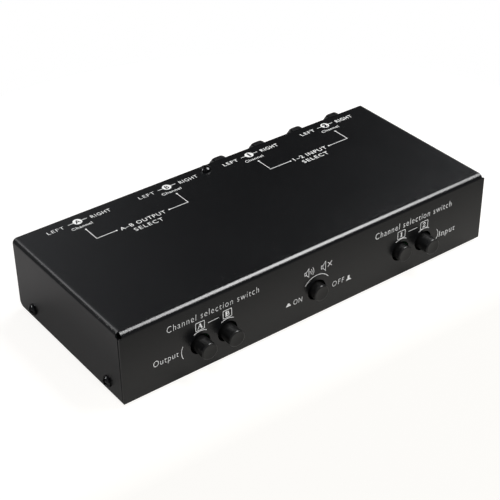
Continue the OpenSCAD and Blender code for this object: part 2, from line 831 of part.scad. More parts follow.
// Input socket: flange, collar and hood, with a round opening and the release lever's slots
module input_socket(i) {
    slot_w = tab_w + 2 * run_gap + 0.1;
    arm_slot_w = arm_w + 0.8;
    color([0.1, 0.1, 0.105]) at_socket(i) difference() {
        union() {
            socket_flange();
            along_y(0, collar_l) collar_outline();
            rod_y(barrel_d, -barrel_l, cut);
        }
        rod_y(opening_d, groove_floor, collar_l + cut);
        rod_y(spigot_d + 2 * press_gap, -barrel_l - cut, groove_floor + cut);
        // Slot for the tab, open above and to the rear
        translate([-slot_w / 2, flange_t, tab_floor]) cube([slot_w, collar_l, hood_z]);
        // Slot for the lever's arm, through the flange and along the barrel
        translate([-arm_slot_w / 2, -cut, arm_z - 0.25]) cube([arm_slot_w, flange_t + 2 * cut, 3.4]);
        translate([-arm_slot_w / 2, groove_floor, hook_z]) {
            cube([arm_slot_w, -groove_floor, barrel_d / 2]);
        }
        translate([0, pivot_y, pivot_z]) rotate([0, 90, 0]) {
            cylinder(d = pivot_d + 2 * press_gap, h = hood_w - 3, center = true);
        }
        socket_screw_holes();
    }
}

module input_insert(i) {
    mouth = 0.5;
    key_w = 2.2;
    key_depth = 1;
    color([0.06, 0.06, 0.065]) at_socket(i) difference() {
        turned_y() polygon([
            [0, -barrel_l], [spigot_d / 2, -barrel_l], [spigot_d / 2, groove_floor],
            [insert_d / 2, groove_floor], [insert_d / 2, insert_front - mouth],
            [insert_d / 2 - mouth, insert_front], [0, insert_front]
        ]);
        for (spot = contact_spots) translate([spot[0], 0, spot[1]]) {
            rod_y(contact_d + 2 * press_gap, -barrel_l - cut, insert_front - 1.2);
            rod_y(pin_d + 0.6, insert_front - 1.3, insert_front + cut);
        }
        translate([-key_w / 2, 0, -insert_d / 2 - cut]) cube([key_w, insert_front + cut, key_depth + cut]);
    }
}

module input_contacts() {
    top = insert_front - 1.4;
    color([0.8, 0.78, 0.7]) for (i = input_ids) at_socket(i) {
        for (spot = contact_spots) translate([spot[0], 0, spot[1]]) {
            difference() {
                contact_body(top);
                rod_y(pin_d, top - 13, top + cut);
                translate([-0.2, top - 9, -contact_d]) cube([0.4, 9 + cut, 2 * contact_d]);
            }
        }
    }
}

// Release lever: the tab in front, the pivot in the flange and the hook behind
module release_lever(i) {
    color([0.14, 0.14, 0.145]) at_socket(i) difference() {
        union() {
            along_x(arm_w) {
                translate([hook_y, arm_z]) square([pivot_y + 0.9 - hook_y, arm_t]);
                translate([pivot_y - 0.9, arm_z]) square([1.8, pivot_z + 1 - arm_z]);
                translate([pivot_y - 0.9, tab_z]) square([tab_y - pivot_y + 1.6, 1]);
                translate([pivot_y, pivot_z]) circle(1);
                polygon([
                    [hook_y, arm_z + cut], [hook_y, hook_z],
                    [hook_y + 0.8, hook_z], [hook_y + 2.6, arm_z + cut]
                ]);
            }
            intersection() {
                along_x(tab_w) translate([tab_y, tab_z]) square([tab_end - tab_y, hood_z - tab_z]);
                along_y(0, tab_end) collar_outline();
            }
        }
        translate([0, pivot_y, pivot_z]) rotate([0, 90, 0]) {
            cylinder(d = pivot_d + 2 * pivot_gap, h = tab_w, center = true);
        }
        translate([0, spring_pocket_y, tab_z - cut]) {
            cylinder(d = spring_pocket_d, h = spring_pocket_top - tab_z + cut);
        }
        // Grip grooves across the tab
        for (k = [1:3]) translate([0, tab_y + k * grip_pitch, hood_z]) rotate([0, 90, 0]) {
            cylinder(d = grip_d, h = tab_w + 1, center = true);
        }
    }
}

module lever_spring(i) {
    color([0.75, 0.75, 0.77]) at_socket(i) translate([0, spring_pocket_y, tab_floor]) {
        coil_spring(spring_pocket_d - 0.6, 0.35, spring_pocket_top - tab_floor, 5);
    }
}

module lever_pivots() {
    color([0.75, 0.75, 0.77]) for (i = input_ids) at_socket(i) translate([0, pivot_y, pivot_z]) {
        rotate([0, 90, 0]) cylinder(d = pivot_d, h = hood_w - 3.2, center = true);
    }
}

module socket_screws() {
    color([0.08, 0.08, 0.085]) for (i = [0:7]) at_socket(i) for (s = [-1, 1]) {
        translate([s * screw_dx / 2, flange_t, -s * screw_dz / 2]) rotate([-90, 0, 0]) {
            pan_screw(socket_screw_d, socket_head_d, socket_head_h, socket_screw_l);
        }
    }
}

module socket_nuts() {
    color([0.75, 0.75, 0.77]) for (i = [0:7]) at_socket(i) for (s = [-1, 1]) {
        translate([s * screw_dx / 2, -chassis_t, -s * screw_dz / 2]) rotate([90, 0, 0]) difference() {
            cylinder(d = nut_af / cos(30), h = nut_h, $fn = 6);
            translate([0, 0, -cut]) cylinder(d = socket_screw_d + 2 * press_gap, h = nut_h + 2 * cut);
        }
    }
}

module button_a() { cap(0); }
module button_b() { cap(1); }
module button_mute() { cap(2); }
module button_1() { cap(3); }
module button_2() { cap(4); }
module plunger_a() { plunger(0); }
module plunger_b() { plunger(1); }
module plunger_mute() { plunger(2); }
module plunger_1() { plunger(3); }
module plunger_2() { plunger(4); }
module return_spring_a() { return_spring(0); }
module return_spring_b() { return_spring(1); }
module return_spring_mute() { return_spring(2); }
module return_spring_1() { return_spring(3); }
module return_spring_2() { return_spring(4); }
module switch_housing_a() { switch_housing(0); }
module switch_housing_b() { switch_housing(1); }
module switch_housing_mute() { switch_housing(2); }
module switch_housing_1() { switch_housing(3); }
module switch_housing_2() { switch_housing(4); }
module output_socket_a_left() { output_socket(0); }
module output_socket_a_right() { output_socket(1); }
module output_socket_b_left() { output_socket(2); }
module output_socket_b_right() { output_socket(3); }
module input_socket_1_left() { input_socket(4); }
module input_socket_1_right() { input_socket(5); }
module input_socket_2_left() { input_socket(6); }
module input_socket_2_right() { input_socket(7); }
module input_insert_1_left() { input_insert(4); }
module input_insert_1_right() { input_insert(5); }
module input_insert_2_left() { input_insert(6); }
module input_insert_2_right() { input_insert(7); }
module release_lever_1_left() { release_lever(4); }
module release_lever_1_right() { release_lever(5); }
module release_lever_2_left() { release_lever(6); }
module release_lever_2_right() { release_lever(7); }
module lever_spring_1_left() { lever_spring(4); }
module lever_spring_1_right() { lever_spring(5); }
module lever_spring_2_left() { lever_spring(6); }
module lever_spring_2_right() { lever_spring(7); }

cover();
chassis();
side_screws();
top_screw();
rubber_feet();
button_a();
button_b();
button_mute();
button_1();
button_2();
plunger_a();
plunger_b();
plunger_mute();
plunger_1();
plunger_2();
return_spring_a();
return_spring_b();
return_spring_mute();
return_spring_1();
return_spring_2();
switch_housing_a();
switch_housing_b();
switch_housing_mute();
switch_housing_1();
switch_housing_2();
switch_bases();
latch_wires();
main_board();
board_standoffs();
board_screws();
board_headers();
lead_plugs();
output_leads();
input_leads();
output_socket_a_left();
output_socket_a_right();
output_socket_b_left();
output_socket_b_right();
output_pins();
input_socket_1_left();
input_socket_1_right();
input_socket_2_left();
input_socket_2_right();
input_insert_1_left();
input_insert_1_right();
input_insert_2_left();
input_insert_2_right();
input_contacts();
release_lever_1_left();
release_lever_1_right();
release_lever_2_left();
release_lever_2_right();
lever_spring_1_left();
lever_spring_1_right();
lever_spring_2_left();
lever_spring_2_right();
lever_pivots();
socket_screws();
socket_nuts();
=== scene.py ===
# %% [markdown]
# # An audio source selector
# The object is a low black steel box. Five push buttons in its front face choose between two
# stereo inputs and two stereo outputs, and eight round sockets stand in its rear panel. The packed
# CAD model gives every solid in its true place and size, in metres, with the front along -Y and the
# feet on Z = 0. This lesson dresses that model: it makes the small turned and printed pieces that
# the eye rests on, and gives each solid the finish of the real material.

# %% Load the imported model
import json
import math

import bpy
import numpy as np
from mathutils import Matrix, Vector


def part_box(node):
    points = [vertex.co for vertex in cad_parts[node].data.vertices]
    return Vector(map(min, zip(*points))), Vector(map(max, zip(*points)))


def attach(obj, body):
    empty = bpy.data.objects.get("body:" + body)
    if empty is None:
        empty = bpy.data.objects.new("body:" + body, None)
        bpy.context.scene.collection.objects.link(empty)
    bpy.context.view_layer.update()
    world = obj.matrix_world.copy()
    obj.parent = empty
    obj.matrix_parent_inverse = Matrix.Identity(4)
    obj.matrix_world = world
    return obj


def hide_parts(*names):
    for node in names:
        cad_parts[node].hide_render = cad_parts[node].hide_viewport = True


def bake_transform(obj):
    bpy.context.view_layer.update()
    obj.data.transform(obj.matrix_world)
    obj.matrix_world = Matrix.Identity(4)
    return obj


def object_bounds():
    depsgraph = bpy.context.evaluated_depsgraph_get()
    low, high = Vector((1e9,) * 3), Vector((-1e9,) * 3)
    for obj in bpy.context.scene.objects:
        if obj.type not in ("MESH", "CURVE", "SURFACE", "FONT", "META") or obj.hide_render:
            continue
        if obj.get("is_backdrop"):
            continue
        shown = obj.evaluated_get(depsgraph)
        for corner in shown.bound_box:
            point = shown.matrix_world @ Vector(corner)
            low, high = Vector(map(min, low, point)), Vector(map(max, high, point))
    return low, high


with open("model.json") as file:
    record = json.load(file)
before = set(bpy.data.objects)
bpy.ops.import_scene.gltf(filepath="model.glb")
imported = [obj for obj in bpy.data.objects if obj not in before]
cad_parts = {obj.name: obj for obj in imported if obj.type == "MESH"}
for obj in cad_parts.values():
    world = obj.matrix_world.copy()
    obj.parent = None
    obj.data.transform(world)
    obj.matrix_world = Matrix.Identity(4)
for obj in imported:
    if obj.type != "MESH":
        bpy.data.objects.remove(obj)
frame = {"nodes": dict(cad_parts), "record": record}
cad_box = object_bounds()
nodes = frame["nodes"]
MM = 0.001
print("CAD box in mm:", [[round(v / MM, 2) for v in corner] for corner in cad_box])

# %% [markdown]
# The printed legends, the caps and the screws are placed from the case's own faces. The corners of
# the folded cover give those planes, so nothing is typed in twice and a piece stays on the case if
# the case changes.

# %% The planes of the case
cover_low, cover_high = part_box("cover")
LEFT, RIGHT = cover_low.x, cover_high.x
FRONT, REAR = cover_low.y, cover_high.y
UNDER, TOP = cover_low.z, cover_high.z
case_size = (RIGHT - LEFT, REAR - FRONT, TOP - UNDER)
print("case in mm:", [round(side / MM, 1) for side in case_size])

# %% [markdown]
# ## The view and the studio
# The photograph looks down on the box from its front left corner through a long lens, which keeps
# the edges nearly parallel. The focal length, the place and the turn below were fitted to the
# corners of the case, so the render can be laid over the photograph.

# %% The camera
# Lens and sensor in mm, the place in m from the near left corner, the turn in degrees
FOCAL_LENGTH, SENSOR_WIDTH = 95.28, 36.0
FROM_CORNER = (-0.26084, -0.46489, 0.45762)
CAMERA_TURN = (55.738, 0.578, -36.908)

camera_data = bpy.data.cameras.new("camera")
camera_data.lens = FOCAL_LENGTH
camera_data.sensor_width = SENSOR_WIDTH
camera_data.clip_start = 0.02
camera = bpy.data.objects.new("camera", camera_data)
camera.location = Vector((LEFT, FRONT, UNDER)) + Vector(FROM_CORNER)
camera.rotation_euler = [math.radians(a) for a in CAMERA_TURN]
bpy.context.scene.collection.objects.link(camera)
bpy.context.scene.camera = camera
print("camera", FOCAL_LENGTH, "mm lens,", round(camera.location.length, 3), "m from the origin")

# %% [markdown]
# Black paint shows its surroundings more than its own colour, so the studio is most of the look. A
# long softbox overhead on the right draws the bright line along the top front bend. A smaller one
# behind on the left draws the grey line on the other bend. A third in front lights the print and is
# kept out of the mirror images, and a little one on the left is only there to be mirrored by the
# screws. The room is dim apart from two soft stripes of light behind the box, which the top mirrors
# at its left and right ends.

# %% Lamps and the room
def softbox(name, place, along, size, radiance):
    """A rectangle at place that faces the origin, the second side of its size along a direction.
    Its power = radiance x pi x area."""
    data = bpy.data.lights.new(name, "AREA")
    data.shape = "RECTANGLE"
    data.size, data.size_y = size
    data.energy = radiance * math.pi * size[0] * size[1]
    lamp = bpy.data.objects.new(name, data)
    away = Vector(place).normalized()
    up = (Vector(along) - Vector(along).dot(away) * away).normalized()
    turn = Matrix((up.cross(away), up, away)).transposed()
    lamp.matrix_world = Matrix.Translation(place) @ turn.to_4x4()
    bpy.context.scene.collection.objects.link(lamp)
    return lamp


key = softbox("key_softbox", (1.0, -0.03, 1.7), (0, 1, 0), (0.85, 1.86), 7.8)
rim = softbox("rim_softbox", (-0.39, 0.86, 0.88), (0.6, 0, 0.3), (0.45, 0.5), 1.3)
fill = softbox("fill_softbox", (-0.35, -1.4, 0.6), (1, 0, 0), (1.2, 0.9), 4.6)
fill.visible_glossy = False
spark = softbox("spark_softbox", (-0.88, 0.44, 0.80), (1, 0, 0), (0.24, 0.24), 24.0)
spark.visible_diffuse = False

print("lamps in watts:", [round(o.data.energy, 1) for o in (key, rim, fill, spark)])

# %% [markdown]
# The stripes are a colour ramp over one number: how far a direction points across the camera's
# view. It is nought straight behind the box, so the left end of the ramp is what the left end of
# the top mirrors. Camera rays see plain white instead.

# %% The room's stripes
STRIPE_AXIS = (0.8, -0.6, 0)
ROOM_TINT = (1, 1.02, 1.06)
#   (how far across, brightness)
STRIPES = [
    (-1.0, 0.12),
    (-0.42, 0.12),
    (-0.28, 0.34),
    (-0.17, 0.26),
    (-0.14, 0.09),
    (-0.09, 0.04),
    (-0.03, 0.015),
    (0.06, 0.015),
    (0.12, 0.03),
    (0.156, 0.10),
    (0.28, 0.30),
    (0.42, 0.06),
    (1.0, 0.06),
]


def set_stops(ramp, stops):
    """Gives a colour ramp its stops, each a place from 0 to 1 and a colour. Its own two stops are
    the ends."""
    for place, colour in stops:
        at_end = {0: ramp.elements[0], 1: ramp.elements[-1]}
        stop = at_end[place] if place in at_end else ramp.elements.new(place)
        stop.color = (*colour, 1)


world = bpy.data.worlds.new("studio_room")
world.use_nodes = True
bpy.context.scene.world = world
room = world.node_tree
background = room.nodes["Background"]
direction = room.nodes.new("ShaderNodeTexCoord")
across = room.nodes.new("ShaderNodeVectorMath")
across.operation = "DOT_PRODUCT"
across.inputs[1].default_value = STRIPE_AXIS
spread = room.nodes.new("ShaderNodeMapRange")
spread.inputs["From Min"].default_value = -1
spread.inputs["From Max"].default_value = 1
stripes = room.nodes.new("ShaderNodeValToRGB")
levels = [(0.5 + place / 2, [level * share for share in ROOM_TINT]) for place, level in STRIPES]
set_stops(stripes.color_ramp, levels)
path = room.nodes.new("ShaderNodeLightPath")
seen = room.nodes.new("ShaderNodeMix")
seen.data_type = "RGBA"
seen.inputs["B"].default_value = (1, 1, 1, 1)
room.links.new(direction.outputs["Generated"], across.inputs[0])
room.links.new(across.outputs["Value"], spread.inputs["Value"])
room.links.new(spread.outputs["Result"], stripes.inputs["Fac"])
room.links.new(path.outputs["Is Camera Ray"], seen.inputs["Factor"])
room.links.new(stripes.outputs["Color"], seen.inputs["A"])
room.links.new(seen.outputs["Result"], background.inputs["Color"])
print(len(STRIPES), "stops across the room")

# %% [markdown]
# The box stands on a round table of matt paper with a pool of light painted into its colour: darker
# in front of the box than under it, and the front and the left side mirror that painted pool. It is
# lifted for the camera, so it reads as white and still keeps the soft shadow under the box. From
# below it is clear, so that the feet can be looked at.

# %% The table
TABLE_RADIUS, TABLE_CORNERS = 0.30, 96
# The pool of light painted into the paper's colour changes over this far before and behind the
# plane of the front.
PAINTED_POOL_REACH = 0.058
#     Painted pool of light, each stop: (share of the way back, level, blue as a share of red)
PAINTED_POOL_TONES = [(0.0, 0.085, 0.9), (0.5, 0.31, 0.91), (0.72, 0.25, 0.97), (1.0, 0.24, 0.97)]
PAPER_GREEN = 0.97
CAMERA_GLOW, GLOSSY_GLOW = 0.88, 0.07


def paper_material():
    """White paper: diffuse, with a pool of light painted into its colour that depends on Object Y,
    and a light of its own that is CAMERA_GLOW for camera rays, GLOSSY_GLOW for glossy ones and
    nought for the rest."""
    made = bpy.data.materials.new("white_paper_painted_pool")
    made.use_nodes = True
    tree = made.node_tree
    tree.nodes.clear()
    out = tree.nodes.new("ShaderNodeOutputMaterial")
    place = tree.nodes.new("ShaderNodeTexCoord")
    axes = tree.nodes.new("ShaderNodeSeparateXYZ")
    pool = tree.nodes.new("ShaderNodeMapRange")
    pool.inputs["From Min"].default_value = FRONT - PAINTED_POOL_REACH
    pool.inputs["From Max"].default_value = FRONT + PAINTED_POOL_REACH
    # This ramp paints a pool of light into the paper's colour, darker far in front of the box.
    tone = tree.nodes.new("ShaderNodeValToRGB")
    tones = [(at, (level, level * PAPER_GREEN, level * blue)) for at, level, blue in PAINTED_POOL_TONES]
    set_stops(tone.color_ramp, tones)
    paper = tree.nodes.new("ShaderNodeBsdfDiffuse")
    glow = tree.nodes.new("ShaderNodeEmission")
    glow.inputs["Color"].default_value = (1, 0.99, 0.97, 1)
    both = tree.nodes.new("ShaderNodeAddShader")
    path = tree.nodes.new("ShaderNodeLightPath")
    mirrored = tree.nodes.new("ShaderNodeMath")
    mirrored.operation = "MULTIPLY"
    mirrored.inputs[0].default_value = GLOSSY_GLOW
    strength = tree.nodes.new("ShaderNodeMath")
    strength.operation = "MULTIPLY_ADD"
    strength.inputs[1].default_value = CAMERA_GLOW
    side = tree.nodes.new("ShaderNodeNewGeometry")
    clear = tree.nodes.new("ShaderNodeBsdfTransparent")
    choose = tree.nodes.new("ShaderNodeMixShader")
    for source, target in (
        (place.outputs["Object"], axes.inputs[0]),
        (axes.outputs["Y"], pool.inputs["Value"]),
        (pool.outputs["Result"], tone.inputs["Fac"]),
        (tone.outputs["Color"], paper.inputs["Color"]),
        (path.outputs["Is Glossy Ray"], mirrored.inputs[1]),
        (path.outputs["Is Camera Ray"], strength.inputs[0]),
        (mirrored.outputs[0], strength.inputs[2]),
        (strength.outputs[0], glow.inputs["Strength"]),
        (paper.outputs[0], both.inputs[0]),
        (glow.outputs[0], both.inputs[1]),
        (side.outputs["Backfacing"], choose.inputs["Fac"]),
        (both.outputs[0], choose.inputs[1]),
        (clear.outputs[0], choose.inputs[2]),
        (choose.outputs[0], out.inputs["Surface"]),
    ):
        tree.links.new(source, target)
    return made


turn = np.arange(TABLE_CORNERS) * 2 * np.pi / TABLE_CORNERS
rim_points = TABLE_RADIUS * np.stack([np.cos(turn), np.sin(turn), 0 * turn], axis=-1)
table_mesh = bpy.data.meshes.new("table")
table_mesh.from_pydata(rim_points.tolist(), [], [list(range(TABLE_CORNERS))])
table_mesh.materials.append(paper_material())
table = bpy.data.objects.new("table", table_mesh)
bpy.context.scene.collection.objects.link(table)
table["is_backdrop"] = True
print("table", 2 * TABLE_RADIUS, "m across")

# %% [markdown]
# ## Surfaces from arrays
# Nearly every new piece is a turned or a swept form, and both are a grid: one index runs along a
# profile, the other round an axis or along a path. The helpers here join such a grid with faces,
# close its seam and close its two ends with single points.

# %% Grids and pieces
SHARP_OVER = 35


def ring_faces(rows, columns):
    """Quads between neighbouring rows of a grid whose columns close on themselves."""
    row, column = np.meshgrid(np.arange(rows - 1), np.arange(columns), indexing="ij")
    here, beyond = row * columns, (row + 1) * columns
    following = (column + 1) % columns
    quads = [here + column, here + following, beyond + following, beyond + column]
    return np.stack(quads, axis=-1).reshape(-1, 4).tolist()


def fan_faces(pole, first, columns, outward):
    """Triangles from one point to a closed row of the grid, turned over where outward is false."""
    column = np.arange(columns)
    following = (column + 1) % columns
    ends = (following, column) if outward else (column, following)
    return np.stack([np.full(columns, pole), first + ends[0], first + ends[1]], axis=-1).tolist()


def turned(profile, segments, relief=None):
    """A closed turned shape about +Z. profile holds (radius, height) from the pole below to the
    pole above; x = r cos a, y = r sin a, z = h + relief(x, y, h), where a relief is given."""
    profile = np.asarray(profile, float)
    angle = np.arange(segments) * 2 * np.pi / segments
    radius, h = profile[1:-1, 0][:, None], profile[1:-1, 1][:, None]
    grid = np.stack([radius * np.cos(angle), radius * np.sin(angle), h + 0 * angle], axis=-1)
    points = np.vstack([grid.reshape(-1, 3), [[0, 0, profile[0, 1]], [0, 0, profile[-1, 1]]]])
    if relief is not None:
        points[:, 2] += relief(points[:, 0], points[:, 1], points[:, 2])
    rows = len(profile) - 2
    faces = ring_faces(rows, segments)
    faces += fan_faces(rows * segments, 0, segments, True)
    faces += fan_faces(rows * segments + 1, (rows - 1) * segments, segments, False)
    return points, faces


def gathered(shapes):
    """Several (points, faces) as one: each shape's faces count on from the points before it."""
    points, faces, start = [], [], 0
    for shape_points, shape_faces in shapes:
        points.append(shape_points)
        faces += [[start + i for i in face] for face in shape_faces]
        start += len(shape_points)
    return np.vstack(points), faces


def placed(shape, place, x_axis, y_axis, z_axis):
    """A shape with its own axes laid along three directions: p = place + x X + y Y + z Z."""
    points, faces = shape
    return np.asarray(place, float) + points @ np.array([x_axis, y_axis, z_axis], float), faces


def piece(name, shape, slot, replaced, body="case", coat=None):
    """Makes the object at the origin, with its place in its mesh. It takes the finish of its slot,
    or the coat if one is given, and rides on the body, if it has only one."""
    points, faces = shape
    mesh = bpy.data.meshes.new(name)
    mesh.from_pydata(points.tolist(), [], faces)
    mesh.validate()
    mesh.polygons.foreach_set("use_smooth", np.ones(len(mesh.polygons), bool))
    mesh.set_sharp_from_angle(angle=math.radians(SHARP_OVER))
    mesh.materials.append(coat or finishes[slot])
    made = bpy.data.objects.new(name, mesh)
    bpy.context.scene.collection.objects.link(made)
    if body:
        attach(made, body)
    if replaced:
        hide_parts(*replaced)
    print(name, len(mesh.polygons), "faces")
    return made


print("helpers for grids and pieces ready")

# %% [markdown]
# ## Finishes
# Each finish is a small node tree on Object coordinates, in metres, so that its grain has the same
# real size on every piece. Colour, roughness and relief each get their own noise, because on a real
# coating the tint, the shine and the skin vary at different scales.

# %% A finish and its grain
# The part of a noise's range, from 0 to 1, over which a tint changes
TINT_SPAN = (0.3, 0.7)


def finish(name, colour, roughness, metallic=0.0, shine=0.5):
    """A Principled material with plain values on its sockets."""
    made = bpy.data.materials.new(name)
    made.use_nodes = True
    shader = made.node_tree.nodes["Principled BSDF"]
    shader.inputs["Base Color"].default_value = (*colour, 1)
    shader.inputs["Roughness"].default_value = roughness
    shader.inputs["Metallic"].default_value = metallic
    shader.inputs["Specular IOR Level"].default_value = shine
    made.diffuse_color = (*colour, 1)
    return made


def noise(made, size, detail=2.0, stretch=(1, 1, 1)):
    """Noise whose features are about size metres across, drawn out along each axis by stretch."""
    tree = made.node_tree
    place = tree.nodes.new("ShaderNodeTexCoord")
    scale = tree.nodes.new("ShaderNodeMapping")
    scale.inputs["Scale"].default_value = [1 / s for s in stretch]
    pattern = tree.nodes.new("ShaderNodeTexNoise")
    pattern.inputs["Scale"].default_value = 1 / size
    pattern.inputs["Detail"].default_value = detail
    tree.links.new(place.outputs["Object"], scale.inputs["Vector"])
    tree.links.new(scale.outputs["Vector"], pattern.inputs["Vector"])
    return pattern.outputs["Fac"]


def tinted(made, pattern, low, high):
    """Base colour = low where the pattern is dark, high where it is light."""
    tree = made.node_tree
    ramp = tree.nodes.new("ShaderNodeValToRGB")
    for stop, place, colour in zip(ramp.color_ramp.elements, TINT_SPAN, (low, high)):
        stop.position = place
        stop.color = (*colour, 1)
    tree.links.new(pattern, ramp.inputs["Fac"])
    tree.links.new(ramp.outputs["Color"], tree.nodes["Principled BSDF"].inputs["Base Color"])


def uneven(made, pattern, low, high):
    """Roughness runs from low to high with the pattern."""
    tree = made.node_tree
    spread = tree.nodes.new("ShaderNodeMapRange")
    spread.inputs["To Min"].default_value = low
    spread.inputs["To Max"].default_value = high
    tree.links.new(pattern, spread.inputs["Value"])
    tree.links.new(spread.outputs["Result"], tree.nodes["Principled BSDF"].inputs["Roughness"])


def grained(made, pattern, depth):
    """Relief: the pattern's hills are depth metres high."""
    tree = made.node_tree
    bump = tree.nodes.new("ShaderNodeBump")
    bump.inputs["Distance"].default_value = depth
    bump.inputs["Strength"].default_value = 1.0
    tree.links.new(pattern, bump.inputs["Height"])
    tree.links.new(bump.outputs["Normal"], tree.nodes["Principled BSDF"].inputs["Normal"])


print("helpers for finishes ready")

# %% [markdown]
# The cover and the chassis are steel with a baked powder coat. It melts into a skin with very
# shallow ripples less than half a millimetre apart, a little duller in some places than in others.

# %% Powder coat
# Sizes in mm: specks of tint, patches of shine, ripples and their depth
SPECK, PATCH, RIPPLE, RIPPLE_DEPTH = 0.7, 20, 0.4, 0.07
COAT_ROUGHNESS = (0.14, 0.18)


def powder_coat(name, low, high):
    """Near black, with the full shine of a hard coat: only its fine ripples scatter the light."""
    made = finish(name, high, 0.3, shine=1.0)
    tinted(made, noise(made, SPECK * MM, 3), low, high)
    uneven(made, noise(made, PATCH * MM, 3), *COAT_ROUGHNESS)
    grained(made, noise(made, RIPPLE * MM, 2), RIPPLE_DEPTH * MM)
    return made


finishes = {
    "cover_paint": powder_coat(
        "cover_powder_coat", (0.0032, 0.0034, 0.0038), (0.0052, 0.0054, 0.006)
    ),
    "chassis_paint": powder_coat(
        "chassis_powder_coat", (0.0036, 0.0037, 0.004), (0.0056, 0.0057, 0.006)
    ),
}
print("paint ripples", RIPPLE, "mm apart")

# %% [markdown]
# The other finishes are moulded plastic, rubber, bare and plated metals, laminate and cable
# insulation. One table gives each its tones, the shine, the size and depth of its grain and how far
# the grain is drawn out, and one loop makes them all.

# %% Plastics, rubber, metals and laminate
#   slot: (dark tone, light tone, roughness from, to, metal, grain size in mm, grain depth in mm)
RECIPES = {
    "cap_plastic": ((0.005, 0.005, 0.005), (0.007, 0.007, 0.007), 0.33, 0.39, 0, 0.35, 0.004),
    "plunger_plastic": ((0.60, 0.59, 0.55), (0.70, 0.69, 0.65), 0.40, 0.50, 0, 0.8, 0.003),
    "switch_plastic": ((0.012, 0.012, 0.013), (0.020, 0.020, 0.022), 0.45, 0.60, 0, 0.5, 0.006),
    "socket_plastic": ((0.006, 0.006, 0.0062), (0.010, 0.010, 0.0103), 0.30, 0.40, 0, 0.4, 0.006),
    "insert_plastic": ((0.008, 0.008, 0.009), (0.014, 0.014, 0.015), 0.32, 0.42, 0, 0.4, 0.004),
    "header_nylon": ((0.66, 0.64, 0.56), (0.76, 0.74, 0.66), 0.42, 0.55, 0, 0.6, 0.003),
    "foot_rubber": ((0.010, 0.010, 0.010), (0.020, 0.020, 0.020), 0.75, 0.90, 0, 0.3, 0.010),
    "black_screw": ((0.045, 0.045, 0.046), (0.085, 0.085, 0.087), 0.08, 0.14, 1, 0.5, 0.002),
    "spring_steel": ((0.42, 0.42, 0.44), (0.62, 0.62, 0.64), 0.22, 0.35, 1, 0.2, 0.002),
    "plated_steel": ((0.50, 0.51, 0.53), (0.66, 0.67, 0.68), 0.24, 0.40, 1, 0.6, 0.003),
    "standoff_brass": ((0.52, 0.40, 0.16), (0.68, 0.53, 0.24), 0.22, 0.34, 1, 0.25, 0.003),
    "contact_metal": ((0.60, 0.58, 0.50), (0.78, 0.76, 0.68), 0.16, 0.28, 1, 0.2, 0.002),
    "lever_metal": ((0.010, 0.010, 0.0105), (0.018, 0.018, 0.019), 0.32, 0.45, 1, 0.3, 0.003),
    "switch_laminate": ((0.20, 0.11, 0.045), (0.32, 0.18, 0.08), 0.45, 0.60, 0, 0.8, 0.004),
    "board_laminate": ((0.010, 0.070, 0.028), (0.018, 0.115, 0.048), 0.24, 0.36, 0, 1.6, 0.006),
    "red_lead": ((0.34, 0.016, 0.012), (0.44, 0.026, 0.018), 0.34, 0.46, 0, 1.0, 0.003),
    "grey_lead": ((0.42, 0.42, 0.42), (0.54, 0.54, 0.54), 0.34, 0.46, 0, 1.0, 0.003),
}
# How far the grain is drawn out along X, Y and Z, where it is not the same all ways
STRETCH = {
    "spring_steel": (1, 1, 4),
    "standoff_brass": (8, 8, 1),
    "contact_metal": (1, 6, 1),
    "lever_metal": (1, 6, 1),
    "switch_laminate": (6, 1, 1),
    "board_laminate": (5, 1, 1),
}
TINT_PER_GRAIN = 8

for name, (dark, light, rough_low, rough_high, metal, grain, depth) in RECIPES.items():
    stretch = STRETCH.get(name, (1, 1, 1))
    made = finish(name, light, rough_low, metal)
    pattern = noise(made, grain * MM, 3, stretch)
    tinted(made, noise(made, TINT_PER_GRAIN * grain * MM, 4, stretch), dark, light)
    uneven(made, pattern, rough_low, rough_high)
    grained(made, pattern, depth * MM)
    finishes[name] = made
print(len(finishes), "finishes")

# %% [markdown]
# The caps are polished: under a thin clear skin the plastic itself scatters the light a little. The
# skin is a sharp coat, which draws the glint on the rim, and the rough base keeps the face even.

# %% The polish on the caps
CAP_SHINE, POLISH, POLISH_ROUGHNESS = 0.62, 0.62, 0.05

cap_shader = finishes["cap_plastic"].node_tree.nodes["Principled BSDF"]
cap_shader.inputs["Specular IOR Level"].default_value = CAP_SHINE
cap_shader.inputs["Coat Weight"].default_value = POLISH
cap_shader.inputs["Coat Roughness"].default_value = POLISH_ROUGHNESS
print("caps polished")

# %% [markdown]
# Every solid of the CAD model is in one of these slots, so the record says which finish it takes.

# %% The solids take their finishes
for part in frame["record"]["subparts"]:
    solid = nodes[part["node"]].data
    solid.materials.clear()
    solid.materials.append(finishes[part["material_slot"]])
print(len(nodes), "solids dressed")

# %% [markdown]
# ## Buttons
# A cap is a turned plastic cup: a face with a shallow dish and a rounded rim, straight sides, and a
# groove behind, round the boss that grips the switch. It is turned here from a fine profile, so
# that the rim catches the light in an even ring.

# %% Turned caps
BUTTONS = ("a", "b", "mute", "1", "2")
cap_low, cap_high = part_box("button_a")
# In mm: the cup, its rounded edge and back chamfer, the dish, and the groove behind
CAP_RADIUS, CAP_LENGTH = (cap_high.x - cap_low.x) / 2 / MM, 13.5
CAP_EDGE, CHAMFER = 0.75, 0.2
DISH, DISH_INSET = 0.25, 0.12
GROOVE_FLOOR, GROOVE_OUTER, GROOVE_INNER = 5.5, CAP_RADIUS - 1.3, 3.2
CAP_SEGMENTS = 96


def arc(centre, radius, start, end, count):
    """Points on a circle from one angle to another: centre + radius (cos a, sin a)."""
    a = np.radians(np.linspace(start, end, count))
    return np.stack([centre[0] + radius * np.cos(a), centre[1] + radius * np.sin(a)], axis=-1)


